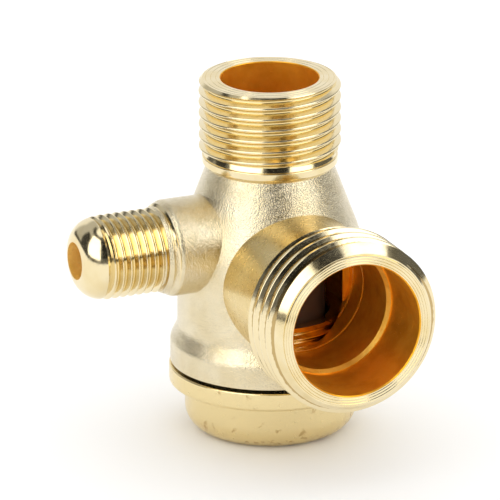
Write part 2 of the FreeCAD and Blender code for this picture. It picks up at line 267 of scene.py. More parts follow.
class VALVE_PG_studio(bpy.types.PropertyGroup):
    """Where the photograph's camera stood, and the paper under the valve."""
    camera_azimuth: bpy.props.FloatProperty(
        name="Camera azimuth", description="Turn of the camera about Z from the -Y side",
        default=math.radians(-23.257), subtype="ANGLE")
    camera_elevation: bpy.props.FloatProperty(
        name="Camera elevation", description="Angle of the camera above the floor",
        default=math.radians(19.458), subtype="ANGLE")
    camera_roll: bpy.props.FloatProperty(
        name="Camera roll", description="Turn of the camera about its own axis",
        default=math.radians(-0.2), subtype="ANGLE")
    camera_distance: length("Camera distance", "From the point that the camera looks at", 1054.9)
    target: bpy.props.FloatVectorProperty(
        name="Target", description="Point that the camera looks at",
        default=(-2.172 * MM, 0.933 * MM, 21.611 * MM), subtype="TRANSLATION")
    lens: bpy.props.FloatProperty(
        name="Lens", description="Focal length of the camera, in millimetres", default=647.7)
    sensor_width: bpy.props.FloatProperty(
        name="Sensor width", description="Width of the camera's sensor, in millimetres", default=36)
    clip_start: length("Clip start", "Nearest distance that the camera shows", 10)
    clip_end: length("Clip end", "Farthest distance that the camera shows", 20000)
    floor_size: length("Floor size", "Side of the square of paper", 3000)
    paper: colour("Paper", "White matt paper that the valve stands on", "#FFFFFF")


def drawn_outline(corners, arc_step=ARC_STEP, hold=0):
    """Points of an outline in the XZ plane. A corner is (radius, height) or (radius, height, rounding).
    Holding points beside each arc keep the shading of the faces next to it flat."""
    points = [Vector((corner[0], 0, corner[1])) for corner in corners]
    roundings = [corner[2] if len(corner) > 2 else 0 for corner in corners]
    line = []
    for i, point in enumerate(points):
        if not roundings[i]:
            line.append(point)
            continue
        following = (i + 1) % len(points)
        before = points[i - 1] - point
        after = points[following] - point
        half = before.angle(after) / 2
        room_before = before.length * (ROOM_SHARED if roundings[i - 1] else ROOM_ALONE)
        room_after = after.length * (ROOM_SHARED if roundings[following] else ROOM_ALONE)
        reach = min(roundings[i] / math.tan(half), room_before, room_after)
        radius = reach * math.tan(half)
        middle = (before.normalized() + after.normalized()).normalized()
        centre = point + middle * radius / math.sin(half)
        first = (point + before.normalized() * reach - centre).normalized()
        last = (point + after.normalized() * reach - centre).normalized()
        count = max(2, math.ceil(first.angle(last) / arc_step))
        arc = [centre + first.slerp(last, k / count) * radius for k in range(count + 1)]
        if hold:
            arc = [arc[0] + before.normalized() * hold, *arc, arc[-1] + after.normalized() * hold]
        line += arc
    return line


def draw(name, points):
    """Draws an outline point by point from a plane merged to its middle, and stays in edit mode."""
    bpy.ops.object.select_all(action="DESELECT")
    bpy.ops.mesh.primitive_plane_add(size=MM, location=(0, 0, 0))
    piece = bpy.context.object
    piece.name = name
    bpy.ops.object.mode_set(mode="EDIT")
    bpy.ops.mesh.select_all(action="SELECT")
    bpy.ops.mesh.merge(type="CENTER")
    bpy.ops.transform.translate(value=points[0])
    for before, point in zip(points, points[1:]):
        bpy.ops.mesh.extrude_region_move(TRANSFORM_OT_translate={"value": point - before})
    return piece


def weld():
    """Merges doubles and turns the faces outwards, in edit mode."""
    bpy.ops.mesh.select_all(action="SELECT")
    bpy.ops.mesh.remove_doubles(threshold=WELD)
    bpy.ops.mesh.normals_make_consistent(inside=False)


def scored(outer, inner, height, count):
    """Corners of a flat face with fine turning marks, from its outer edge in."""
    corners = [(outer, height)]
    for k in range(count):
        radius = outer + (inner - outer) * (k + MARK_PLACE) / count
        corners += [(radius + SCORE, height), (radius, height - SCORE), (radius - SCORE, height)]
    return corners


def turned(name, corners, material, ring=False):
    """A turned form about Z, closed on the axis, or on itself for a ring."""
    points = drawn_outline(corners)
    piece = draw(name, points + points[:1] if ring else points)
    bpy.ops.mesh.select_all(action="SELECT")
    bpy.ops.mesh.spin(steps=STEPS, angle=2 * math.pi, center=(0, 0, 0), axis=(0, 0, 1))
    weld()
    bpy.ops.object.mode_set(mode="OBJECT")
    piece.data.materials.append(material)
    return piece


def thread_section(major, depth, pitch, half_angle, flat, rounding, edge):
    """One pitch of a thread, from the middle of a root over a flat crest to the next root."""
    root = major - depth
    root_flat = pitch - flat - 2 * depth * math.tan(half_angle)
    return [
        (root, 0),
        (root, root_flat / 2, rounding),
        (major, (pitch - flat) / 2, edge),
        (major, (pitch + flat) / 2, edge),
        (root, pitch - root_flat / 2, rounding),
        (root, pitch),
    ]


def threaded(name, section, crest, low, high, material, steps=STEPS):
    """A right-hand thread about Z, as a closed bar that reaches past both ends of its stretch.
    The crest is the height of any one crest at angle 0."""
    pitch = section[-1][1]
    turns = math.ceil((high - low) / pitch) + SPARE_TURNS
    start = crest - pitch / 2
    bottom = start - pitch * math.ceil((start - low) / pitch + SPARE_TURNS / 2)
    profile = [Vector((0, 0, bottom))]
    for turn in range(turns):
        rise = Vector((0, 0, bottom + turn * pitch))
        profile += [point + rise for point in drawn_outline(section, THREAD_ARC_STEP, THREAD_HOLD)[:-1]]
    profile += [Vector((section[-1][0], 0, bottom + turns * pitch)), Vector((0, 0, bottom + turns * pitch))]
    piece = draw(name, profile)
    bpy.ops.object.mode_set(mode="OBJECT")
    screw = piece.modifiers.new("screw", "SCREW")
    screw.steps = steps
    screw.render_steps = steps
    screw.screw_offset = pitch
    bpy.ops.object.modifier_apply(modifier=screw.name)
    bpy.ops.object.mode_set(mode="EDIT")
    bpy.ops.mesh.select_all(action="SELECT")
    bpy.ops.mesh.remove_doubles(threshold=WELD)
    bpy.ops.mesh.fill_holes(sides=0)
    weld()
    bpy.ops.object.mode_set(mode="OBJECT")
    piece.data.materials.append(material)
    return piece


def pipe_thread(name, major, pitch, depth, crest, low, high, flat, edge, material):
    """A pipe thread. Flat is the share of the pitch that its crest takes."""
    section = thread_section(major, depth, pitch, PIPE_FLANK, flat * pitch, PIPE_ROOT_ROUND * pitch, edge)
    return threaded(name, section, crest, low, high, material, THREAD_STEPS)


def fine_thread(name, major, crest, low, high, material, steps=STEPS):
    """A metric thread of 1 mm pitch."""
    section = thread_section(
        major, FINE_DEPTH, PITCH_FINE, METRIC_FLANK, FINE_FLAT, FINE_ROOT_ROUND, FINE_CREST_ROUND)
    return threaded(name, section, crest, low, high, material, steps)


def combine(piece, other, operation):
    """Applies a Boolean between two closed pieces, each face keeping its own material."""
    bpy.context.view_layer.objects.active = piece
    modifier = piece.modifiers.new(operation, "BOOLEAN")
    modifier.operation = operation
    modifier.solver = "MANIFOLD"
    modifier.material_mode = "TRANSFER"
    modifier.object = other
    bpy.ops.object.modifier_apply(modifier=modifier.name)
    bpy.data.objects.remove(other)
    if not piece.data.polygons:
        raise RuntimeError(f"{piece.name} lost its faces in {operation}")
    return piece


def place(piece, turn, height):
    """Turns a form made along Z onto its port's axis, and applies the place to its mesh."""
    bpy.ops.object.select_all(action="DESELECT")
    piece.select_set(True)
    bpy.context.view_layer.objects.active = piece
    piece.rotation_euler = turn
    piece.location = (0, 0, height)
    bpy.ops.object.transform_apply(location=True, rotation=True, scale=True)
    return piece


def along_outlet(piece):
    """Turns a form made along Z to the front."""
    return place(piece, (math.radians(90), 0, 0), OUTLET_Z)


def along_unloader(piece):
    """Turns a form made along Z to the left."""
    return place(piece, (0, math.radians(-90), 0), UNLOADER_Z)


def smooth(piece):
    """Shades a piece smooth, up to its sharp edges."""
    bpy.ops.object.select_all(action="DESELECT")
    piece.select_set(True)
    bpy.context.view_layer.objects.active = piece
    bpy.ops.object.shade_smooth_by_angle(angle=SHARP)


def linear(code):
    """An sRGB hex code as a linear colour."""
    parts = [int(code[i:i + 2], 16) / 255 for i in (1, 3, 5)]
    return [part / 12.92 if part <= 0.04045 else ((part + 0.055) / 1.055) ** 2.4 for part in parts] + [1.0]


def add(tree, kind, inputs=None, **settings):
    """Adds a node with its settings, and sets or links its inputs."""
    node = tree.nodes.new(kind)
    for name, value in settings.items():
        setattr(node, name, value)
    for name, value in (inputs or {}).items():
        if isinstance(value, bpy.types.NodeSocket):
            tree.links.new(value, node.inputs[name])
        else:
            node.inputs[name].default_value = value
    return node


def new_material(name, uniform):
    """A material with one shader, whose uniform values are on its own sockets. Returns tree and shader."""
    material = bpy.data.materials.new(name)
    material.use_nodes = True
    tree = material.node_tree
    tree.nodes.clear()
    shader = add(tree, "ShaderNodeBsdfPrincipled", uniform)
    add(tree, "ShaderNodeOutputMaterial", {"Surface": shader.outputs[0]})
    return tree, shader


def grained(name, grain_size, gloss, depth, uniform, detail=3.0, crumble=0.5):
    """What every surface of the valve shares: a grain that varies its gloss between two roughness values, and
    its relief by a depth. Returns the tree, the spot on the piece, the grain, its bump and the shader."""
    tree, shader = new_material(name, uniform)
    spot = add(tree, "ShaderNodeTexCoord").outputs["Object"]
    grain = add(tree, "ShaderNodeTexNoise", {
        "Vector": spot, "Scale": 1 / grain_size, "Detail": detail, "Roughness": crumble,
    }).outputs[0]
    rough = add(tree, "ShaderNodeMapRange", {
        "Value": grain, "From Min": GRAIN_REACH[0], "From Max": GRAIN_REACH[1],
        "To Min": gloss[0], "To Max": gloss[1],
    }).outputs[0]
    relief = add(tree, "ShaderNodeBump", {"Height": grain, "Distance": depth})
    tree.links.new(rough, shader.inputs["Roughness"])
    tree.links.new(relief.outputs[0], shader.inputs["Normal"])
    return SimpleNamespace(tree=tree, spot=spot, grain=grain, relief=relief, shader=shader)


def two_tone(surface, share, first, second):
    """Colours a surface from the first tone to the second by a share that varies over it."""
    tone = add(surface.tree, "ShaderNodeMix", {0: share, 6: first, 7: second}, data_type="RGBA").outputs[2]
    surface.tree.links.new(tone, surface.shader.inputs["Base Color"])


def patched(surface, size, detail, reach, first, second):
    """Gives a surface two tones in soft patches. Reach is the part of the noise over which they change."""
    patches = add(surface.tree, "ShaderNodeTexNoise", {
        "Vector": surface.spot, "Scale": 1 / size, "Detail": detail,
    }).outputs[0]
    share = add(surface.tree, "ShaderNodeMapRange", {
        "Value": patches, "From Min": reach[0], "From Max": reach[1],
    }).outputs[0]
    two_tone(surface, share, first, second)


def tinted(base, red, green, blue):
    """A linear colour whose channels are scaled."""
    return [base[0] * red, base[1] * green, base[2] * blue, 1]


def cast_brass(name, code):
    """Forging brass, shot-blasted and plated: pale, with a fine hard grain that breaks each reflection into
    specks, over the faint lumps of the die."""
    surface = grained(name, BLAST_GRAIN, (0.12, 0.20), 0.075 * MM, METAL, detail=2.0, crumble=0.7)
    lumps = add(surface.tree, "ShaderNodeTexNoise", {
        "Vector": surface.spot, "Scale": 1 / CAST_LUMPS,
    }).outputs[0]
    swell = add(surface.tree, "ShaderNodeBump", {"Height": lumps, "Distance": 0.06 * MM}).outputs[0]
    surface.tree.links.new(swell, surface.relief.inputs["Normal"])
    base = linear(code)
    patched(surface, CAST_PATCHES, 2.0, (0.35, 0.65), base, tinted(base, 0.93, 0.90, 0.82))


def plated_brass(name, code, gloss, depth):
    """Turned brass under a bright plating, with faint mottling. A sharp tool leaves it near a mirror, and
    tumbling a soft sheen."""
    surface = grained(name, FINE_GRAIN, gloss, depth, METAL)
    base = linear(code)
    patched(surface, SATIN_PATCHES, 2.0, (0.4, 0.7), base, tinted(base, 0.94, 0.90, 0.78))


def thread_brass(name, code, centre, across, shade_radius, shade_tint):
    """Thread-cut brass, plated: bright crests and flanks over roots that are darkened with painted shade, up
    to a radius about the port's axis. Across is 0 along that axis."""
    surface = grained(name, FINE_GRAIN, (0.10, 0.18), 0.004 * MM, METAL)
    tree = surface.tree
    offset = add(tree, "ShaderNodeVectorMath", {0: surface.spot, 1: centre}, operation="SUBTRACT").outputs[0]
    flat = add(tree, "ShaderNodeVectorMath", {0: offset, 1: across}, operation="MULTIPLY").outputs[0]
    radius = add(tree, "ShaderNodeVectorMath", {0: flat}, operation="LENGTH").outputs["Value"]
    smear = add(tree, "ShaderNodeMapRange", {
        "Value": surface.grain, "From Min": GRAIN_REACH[0], "From Max": GRAIN_REACH[1],
        "To Min": shade_radius - ROOT_SHADE_EDGE, "To Max": shade_radius + ROOT_SHADE_EDGE,
    }).outputs[0]
    # Painted shade: below this radius the roots take the darker tint
    root_shade = add(tree, "ShaderNodeMath", {0: radius, 1: smear}, operation="LESS_THAN").outputs[0]
    base = linear(code)
    two_tone(surface, root_shade, base, tinted(base, *shade_tint))


def bored_brass(name, code, metallic, depth):
    """Drilled brass that the plating hardly reached: deep orange to gold, dulled by oil, with bright specks
    where the tool chattered."""
    surface = grained(
        name, FINE_GRAIN, (0.30, 0.42), depth, {"Metallic": metallic, "Specular IOR Level": 0.0})
    tree = surface.tree
    chatter = add(tree, "ShaderNodeTexNoise", {
        "Vector": surface.spot, "Scale": 1 / CHATTER, "Detail": 1.0,
    }).outputs[0]
    specks = add(tree, "ShaderNodeMapRange", {
        "Value": chatter, "From Min": 0.70, "From Max": 0.76,
    }).outputs[0]
    raised = add(tree, "ShaderNodeBump", {
        "Height": specks, "Distance": 0.06 * MM, "Normal": surface.relief.outputs[0],
    }).outputs[0]
    tree.links.new(raised, surface.shader.inputs["Normal"])
    base = linear(code)
    patched(surface, BORE_PATCHES, 3.0, (0.4, 0.65), base, tinted(base, 0.88, 0.80, 0.6))


def blotted_brass(name, code, blot_tone):
    """Turned brass, tumbled and plated to a satin, with a few brown blots low on the head, more of them
    towards its bottom.
    """
    surface = grained(name, FINE_GRAIN, (0.18, 0.28), 0.008 * MM, METAL)
    tree = surface.tree
    blots = add(tree, "ShaderNodeTexNoise", {
        "Vector": surface.spot, "Scale": 1 / BLOTS, "Detail": 4.0, "Roughness": 0.6,
    }).outputs[0]
    height = add(tree, "ShaderNodeSeparateXYZ", {0: surface.spot}).outputs[2]
    limit = add(tree, "ShaderNodeMapRange", {
        "Value": height, "From Min": 0.5 * MM, "From Max": 3.0 * MM, "To Min": 0.53, "To Max": 0.63,
    }).outputs[0]
    # Brown blots, more of them towards the bottom of the head
    over = add(tree, "ShaderNodeMath", {0: blots, 1: limit}, operation="SUBTRACT").outputs[0]
    share = add(tree, "ShaderNodeMapRange", {"Value": over, "From Max": 0.08, "To Max": 0.55}).outputs[0]
    two_tone(surface, share, linear(code), linear(blot_tone))


def plain_material(name, code, metallic, roughness, depth):
    """A surface of one colour, with a grain that shades it a little."""
    gloss = (roughness * 0.85, roughness * 1.15)
    surface = grained(name, PLAIN_GRAIN, gloss, depth, {"Metallic": metallic})
    base = linear(code)
    two_tone(surface, surface.grain, tinted(base, 0.8, 0.8, 0.8), base)


def materials():
    """Every material of the valve, made once."""
    finish = bpy.context.scene.valve_finish
    if "cast_brass" in bpy.data.materials:
        return bpy.data.materials
    cast_brass("cast_brass", finish.cast)
    # The outlet's neck, turned and then tumbled: a golden satin
    plated_brass("satin_brass", finish.neck, gloss=(0.24, 0.34), depth=0.010 * MM)
    # Lips, chamfers and faces, turned with a sharp tool: pale gold, near a mirror
    plated_brass("turned_brass", finish.turned, gloss=(0.10, 0.18), depth=0.004 * MM)
    blotted_brass("cap_brass", finish.cap, finish.blot_tone)
    # The bores; the unloader's small drilling, whose brass is painted lighter and more diffuse than the
    # bores' because it takes more light, as painted light; and the fresh cut of the shoulder
    bored_brass("bored_brass", finish.bore, metallic=0.77, depth=0.02 * MM)
    bored_brass("lit_drilling_brass", finish.lit_drilling, metallic=0.4, depth=0.06 * MM)
    bored_brass("shoulder_brass", finish.shoulder, metallic=0.6, depth=0.05 * MM)
    # The three threads: painted shade in the roots, a light amber at the top and small ports, a brown one at
    # the large port. Each has its port's centre, the directions across it, the crest's radius and the depth
    # at which the painted shade starts
    # Tints of the painted shade in the thread roots
    amber_shade = (0.97, 0.90, 0.70)
    brown_shade = (0.62, 0.52, 0.36)
    for name, centre, across, crest, depth, root_shade in (
        ("inlet_brass", (0, 0, 0), (1, 1, 0), INLET_THREAD_R, 0.55 * MM, amber_shade),
        ("outlet_brass", (0, 0, OUTLET_Z), (1, 0, 1), OUTLET_THREAD_R, 0.45 * MM, brown_shade),
        ("unloader_brass", (0, 0, UNLOADER_Z), (0, 1, 1), UNLOADER_THREAD_R, 0.4 * MM, amber_shade),
    ):
        thread_brass(name, finish.turned, centre, across, crest - depth, root_shade)
    # Nitrile rubber, moulded: black and matt, with hardly a highlight
    plain_material("nitrile_rubber", finish.rubber, metallic=0.0, roughness=0.6, depth=0.01 * MM)
    # Nylon, injection-moulded: dark brown with a silky sheen
    plain_material("brown_nylon", finish.nylon, metallic=0.0, roughness=0.4, depth=0.01 * MM)
    # Stainless steel, stamped or turned: grey, with clear reflections
    plain_material("stainless_steel", finish.steel, metallic=1.0, roughness=0.25, depth=0.003 * MM)
    # Spring steel, drawn to wire: a darker grey, with softer reflections
    plain_material("spring_steel", finish.spring, metallic=1.0, roughness=0.3, depth=0.003 * MM)
    return bpy.data.materials


class VALVE_OT_body(bpy.types.Operator):
    """Build the forged body with its three turned ports, threads and passages"""
    bl_idname = "valve.body"
    bl_label = "Valve Body"

    def execute(self, context):
        size = context.scene.valve_body
        finish = materials()
        body = self.bell(size, finish)
        ports = (
            self.inlet, self.outlet_neck, self.outlet_thread, self.unloader_neck, self.unloader_thread,
        )
        for port in ports:
            combine(body, port(size, finish), "UNION")
        for passage in self.passages(size, finish):
            combine(body, passage, "DIFFERENCE")
        smooth(body)
        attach(body, "housing")
        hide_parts("valve_body")
        return {"FINISHED"}

    def bell(self, size, finish):
        """Foot ring, barrel and bell, up to the inlet's lip."""
        ring_top = BODY_FOOT + size.foot_ring_height
        bell_top = BODY_FOOT + size.bell_top_height
        foot_edge = 0.1 * MM
        return turned("valve_body_dressed", [
            (0, BODY_FOOT),
            (FOOT_RING_R, BODY_FOOT, foot_edge),
            (FOOT_RING_R, ring_top, size.foot_ring_round),
            (size.barrel_radius, ring_top + size.necking_height, size.necking_round),
            (size.barrel_radius, BODY_FOOT + size.shoulder_height, size.shoulder_round),
            (size.bell_top_radius, bell_top),
            (0, bell_top),
        ], finish["cast_brass"])

    def inlet(self, size, finish):
        """Lip, relief groove and G 3/8 thread of the inlet."""
        bell_top = BODY_FOOT + size.bell_top_height
        groove = bell_top + size.lip_height
        thread_low = groove + size.groove_height
        core = pipe_thread(
            "inlet_thread", INLET_THREAD_R, PITCH_INLET, size.inlet_thread_depth, size.inlet_crest,
            thread_low, INLET_FACE, INLET_FLAT, INLET_CREST_ROUND, finish["inlet_brass"])
        back_depth = 0.35 * MM
        back_length = 0.3 * MM
        outside = INLET_THREAD_R + OVER
        face_inner = INLET_BORE_R + 0.3 * MM
        blank = turned("inlet_blank", [
            (0, thread_low),
            (INLET_THREAD_R - back_depth, thread_low),
            (outside, thread_low + back_length),
            (outside, INLET_FACE - size.inlet_lead_in - OVER),
            *scored(INLET_THREAD_R - size.inlet_lead_in, face_inner, INLET_FACE, FACE_MARKS),
            (0, INLET_FACE),
        ], finish["turned_brass"])
        combine(core, blank, "INTERSECT")
        lip_low = bell_top - size.lip_drop
        lip_inner = size.lip_radius - size.lip_undercut
        root = 0.3 * MM
        groove_slope = 0.05 * MM
        lip = turned("inlet_lip", [
            (0, lip_low - root),
            (lip_inner - JOIN, lip_low - root),
            (lip_inner, lip_low),
            (size.lip_radius, lip_low + size.lip_undercut, BREAK),
            (size.lip_radius, groove, BREAK),
            (size.groove_radius + JOIN, groove + groove_slope, OVER),
            (size.groove_radius - OVER, thread_low + JOIN),
            (0, thread_low + JOIN),
        ], finish["turned_brass"])
        return combine(core, lip, "UNION")

    def outlet_neck(self, size, finish):
        """Plain turned neck behind the outlet's thread."""
        end = size.outlet_thread_end + JOIN
        neck = turned("outlet_neck", [
            (0, 0),
            (size.outlet_neck_radius, 0),
            (size.outlet_neck_radius, end),
            (0, end),
        ], finish["satin_brass"])
        return along_outlet(neck)

    def outlet_thread(self, size, finish):
        """G 1/2 thread of the outlet. A fine step parts its lead-in chamfer from its face."""
        low = size.outlet_thread_end
        core = pipe_thread(
            "outlet_thread", OUTLET_THREAD_R, PITCH_OUTLET, size.outlet_thread_depth, size.outlet_crest,
            low, OUTLET_FACE, OUTLET_FLAT, OUTLET_CREST_ROUND, finish["outlet_brass"])
        outside = OUTLET_THREAD_R + OVER
        face_outer = OUTLET_THREAD_R - size.outlet_lead_in
        step_outer = 0.16 * MM
        step_inner = 0.02 * MM
        step_depth = 0.18 * MM
        step_gap = 0.06 * MM
        blank = turned("outlet_blank", [
            (0, low),
            (OUTLET_THREAD_R - size.outlet_back_chamfer, low),
            (outside, low + size.outlet_back_chamfer + OVER),
            (outside, OUTLET_FACE - size.outlet_lead_in - OVER),
            (face_outer + step_outer, OUTLET_FACE - step_outer),
            (face_outer + step_inner, OUTLET_FACE - step_depth),
            *scored(face_outer - step_gap, OUTLET_COUNTERBORE_R + JOIN, OUTLET_FACE, FACE_MARKS),
            (0, OUTLET_FACE),
        ], finish["turned_brass"])
        return along_outlet(combine(core, blank, "INTERSECT"))

    def unloader_neck(self, size, finish):
        """Cast neck, with the cone on which the last turns of the thread fade."""
        end = size.unloader_thread_end
        cone = end - size.unloader_neck_cone
        major = UNLOADER_THREAD_R + size.unloader_neck_cut
        fading = fine_thread(
            "neck_thread", major, size.unloader_crest, cone - PITCH_FINE, end, finish["turned_brass"],
            FINE_STEPS)
        blank_low = cone - 0.4 * MM
        blank_inset = 0.3 * MM
        skin = 0.02 * MM
        blank = turned("neck_blank", [
            (0, blank_low),
            (size.unloader_neck_radius - blank_inset, blank_low),
            (size.unloader_neck_radius - skin, cone, JOIN),
            (UNLOADER_THREAD_R, end),
            (0, end),
        ], finish["cast_brass"])
        combine(fading, blank, "INTERSECT")
        run_out_depth = 0.3 * MM
        run_out_start = end - 0.35 * MM
        root_depth = 0.7 * MM
        neck_high = end + 0.5 * MM
        neck = turned("unloader_neck", [
            (0, 0),
            (size.unloader_neck_radius, 0),
            (size.unloader_neck_radius, cone, size.unloader_neck_round),
            (UNLOADER_THREAD_R - run_out_depth, run_out_start),
            (UNLOADER_THREAD_R - root_depth, neck_high),
            (0, neck_high),
        ], finish["cast_brass"])
        return along_unloader(combine(neck, fading, "UNION"))

    def unloader_thread(self, size, finish):
        """M10 x 1 thread, which fades into the tapered and domed nose."""
        low = size.unloader_thread_end - 0.6 * MM
        nose_start = UNLOADER_TIP - size.nose_length
        blank_end = nose_start - 0.7 * MM
        fade = UNLOADER_TIP - size.nose_fade
        core = fine_thread(
            "unloader_thread", UNLOADER_THREAD_R, size.unloader_crest, low, UNLOADER_TIP,
            finish["unloader_brass"], FINE_STEPS)
        outside = UNLOADER_THREAD_R + OVER
        blank = turned("unloader_blank", [
            (0, low),
            (outside, low),
            (outside, blank_end),
            (UNLOADER_THREAD_R, nose_start),
            (size.nose_radius, UNLOADER_TIP, size.nose_round),
            (0, UNLOADER_TIP),
        ], finish["turned_brass"])
        combine(core, blank, "INTERSECT")
        nose = turned("unloader_nose", [
            (0, nose_start),
            (UNLOADER_THREAD_R, nose_start),
            (size.nose_radius, UNLOADER_TIP, size.nose_round),
            (0, UNLOADER_TIP),
        ], finish["turned_brass"])
        plain_low = nose_start - 0.4 * MM
        plain_high = UNLOADER_TIP + 0.5 * MM
        root = UNLOADER_THREAD_R - 0.75 * MM
        plain = turned("plain_nose", [
            (0, plain_low),
            (root, plain_low),
            (UNLOADER_THREAD_R, fade),
            (UNLOADER_THREAD_R, plain_high),
            (0, plain_high),
        ], finish["turned_brass"])
        combine(nose, plain, "INTERSECT")
        return along_unloader(combine(core, nose, "UNION"))

    def passages(self, size, finish):
        """Inlet bore and throat, chamber, outlet bores and unloader drilling, and then the bright rings."""
        bore = finish["bored_brass"]
        drill = math.tan(DRILL_POINT)
        seat = BODY_FOOT + size.seat_height
        shoulder = INLET_FACE - size.inlet_bore_depth
        inlet = turned("inlet_passage", [
            (0, seat - OVER),
            (size.throat_radius, seat - OVER),
            (size.throat_radius, shoulder - (INLET_BORE_R - size.throat_radius) / drill),
            (INLET_BORE_R, shoulder),
            (INLET_BORE_R, INLET_FACE - OVER),
            (INLET_BORE_R + JOIN, INLET_FACE + OVER),
            (0, INLET_FACE + OVER),
        ], bore)
        recess = BODY_FOOT + size.ring_recess_depth
        chamber_top = seat + size.seat_lip_height
        chamber_round = 0.6 * MM
        lip_outer = size.throat_radius + size.seat_lip_width
        seat_clear = seat + 0.05 * MM
        chamber = turned("chamber", [
            (0, BODY_FOOT - OVER),
            (size.ring_recess_radius, BODY_FOOT - OVER),
            (size.ring_recess_radius, recess),
            (size.chamber_radius, recess),
            (size.chamber_radius, chamber_top, chamber_round),
            (lip_outer, chamber_top),
            (lip_outer, seat),
            (size.throat_radius, seat),
            (size.throat_radius, seat_clear),
            (0, seat_clear),
        ], bore)
        chamfer = 0.25 * MM
        outlet = turned("outlet_passage", [
            (0, size.outlet_bore_end),
            (size.outlet_bore_radius, size.outlet_bore_end),
            (size.outlet_bore_radius, size.outlet_shoulder - chamfer),
            (size.outlet_bore_radius + chamfer, size.outlet_shoulder),
            (OUTLET_COUNTERBORE_R, size.outlet_shoulder),
            (OUTLET_COUNTERBORE_R, OUTLET_FACE - BREAK),
            (OUTLET_COUNTERBORE_R + chamfer, OUTLET_FACE + OVER),
            (0, OUTLET_FACE + OVER),
        ], bore)
        hole_end = UNLOADER_TIP - size.unloader_hole_depth
        unloader = turned("unloader_passage", [
            (0, size.throat_radius / 2),
            (size.drilling_radius, size.throat_radius / 2),
            (size.drilling_radius, hole_end - (UNLOADER_HOLE_R - size.drilling_radius) / drill),
            (UNLOADER_HOLE_R, hole_end),
            (UNLOADER_HOLE_R, UNLOADER_TIP + OVER),
            (0, UNLOADER_TIP + OVER),
        ], finish["lit_drilling_brass"])
        passages = [inlet, chamber, along_outlet(outlet), along_unloader(unloader)]
        return passages + self.bright_rings(size, finish)

    def bright_rings(self, size, finish):
        """The outlet's shoulder edge and the tool marks behind it, cut after the bores and left bright."""
        wall = size.outlet_bore_radius
        clear = wall - 0.05 * MM
        edge_width = 0.45 * MM
        edge_end = size.outlet_shoulder + 0.05 * MM
        mark_depth = 0.14 * MM
        mark_front = 0.04 * MM
        mark_back = 0.3 * MM
        rings = [turned("shoulder_edge", [
            (clear, size.outlet_shoulder - edge_width),
            (wall + edge_width, edge_end),
            (clear, edge_end),
        ], finish["shoulder_brass"], ring=True)]
        for mark in TOOL_MARKS:
            rings.append(turned("tool_mark", [
                (clear, mark - mark_front),
                (wall + mark_depth, mark),
                (clear, mark + mark_back),
            ], finish["turned_brass"], ring=True))
        return [along_outlet(ring) for ring in rings]


class VALVE_OT_cap(bpy.types.Operator):
    """Build the screwed cap with its flange, threaded skirt and key socket"""
    bl_idname = "valve.cap"
    bl_label = "Bottom Cap"

    def execute(self, context):
        size = context.scene.valve_cap
        finish = materials()
        cap = self.head(size, finish)
        combine(cap, self.skirt(size, finish), "UNION")
        combine(cap, self.pocket(size, finish), "DIFFERENCE")
        combine(cap, self.socket(size, finish), "DIFFERENCE")
        smooth(cap)
        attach(cap, "housing")
        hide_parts("bottom_cap")
        return {"FINISHED"}

    def head(self, size, finish):
        """Round head and flange, with a stub that the skirt is joined to."""
        inner_round = 0.2 * MM
        stub = size.thread_radius - 0.7 * MM
        stub_top = FLANGE_TOP + 1.0 * MM
        return turned("bottom_cap_dressed", [
            (0, 0),
            (size.head_radius, 0, size.head_round),
            (size.head_radius, size.head_height, inner_round),
            (FLANGE_R, size.head_height, size.flange_round),
            (FLANGE_R, FLANGE_TOP, size.flange_top_round),
            (stub, FLANGE_TOP),
            (stub, stub_top),
            (0, stub_top),
        ], finish["cap_brass"])

    def skirt(self, size, finish):
        """Skirt with the thread that screws into the body."""
        low = FLANGE_TOP - JOIN
        thread = finish["turned_brass"]
        core = fine_thread("skirt_thread", size.thread_radius, SKIRT_TOP, low, SKIRT_TOP, thread)
        outside = size.thread_radius + OVER
        blank = turned("skirt_blank", [
            (0, low),
            (outside, low),
            (outside, SKIRT_TOP - size.skirt_chamfer - OVER),
            (size.thread_radius - size.skirt_chamfer, SKIRT_TOP),
            (0, SKIRT_TOP),
        ], thread)
        return combine(core, blank, "INTERSECT")

    def pocket(self, size, finish):
        """Bore that guides the shutter, round the boss that centres the spring."""
        boss_top = POCKET_Z + size.boss_height
        return turned("pocket", [
            (0, boss_top),
            (size.boss_radius - size.boss_chamfer, boss_top),
            (size.boss_radius, boss_top - size.boss_chamfer),
            (size.boss_radius, POCKET_Z),
            (size.guide_radius, POCKET_Z),
            (size.guide_radius, SKIRT_TOP - size.skirt_chamfer),
            (size.guide_radius + size.skirt_chamfer + OVER, SKIRT_TOP + OVER),
            (0, SKIRT_TOP + OVER),
        ], finish["turned_brass"])

    def socket(self, size, finish):
        """Hexagon for the key, with two of its flats across Y."""
        bpy.ops.object.select_all(action="DESELECT")
        half_corner = math.radians(30)
        bpy.ops.mesh.primitive_cylinder_add(
            vertices=6, radius=size.socket_flats / 2 / math.cos(half_corner),
            depth=2 * size.socket_depth, location=(0, 0, 0), rotation=(0, 0, half_corner),
        )
        socket = bpy.context.object
        socket.data.materials.append(finish["turned_brass"])
        bpy.ops.object.transform_apply(location=True, rotation=True, scale=True)
        return socket


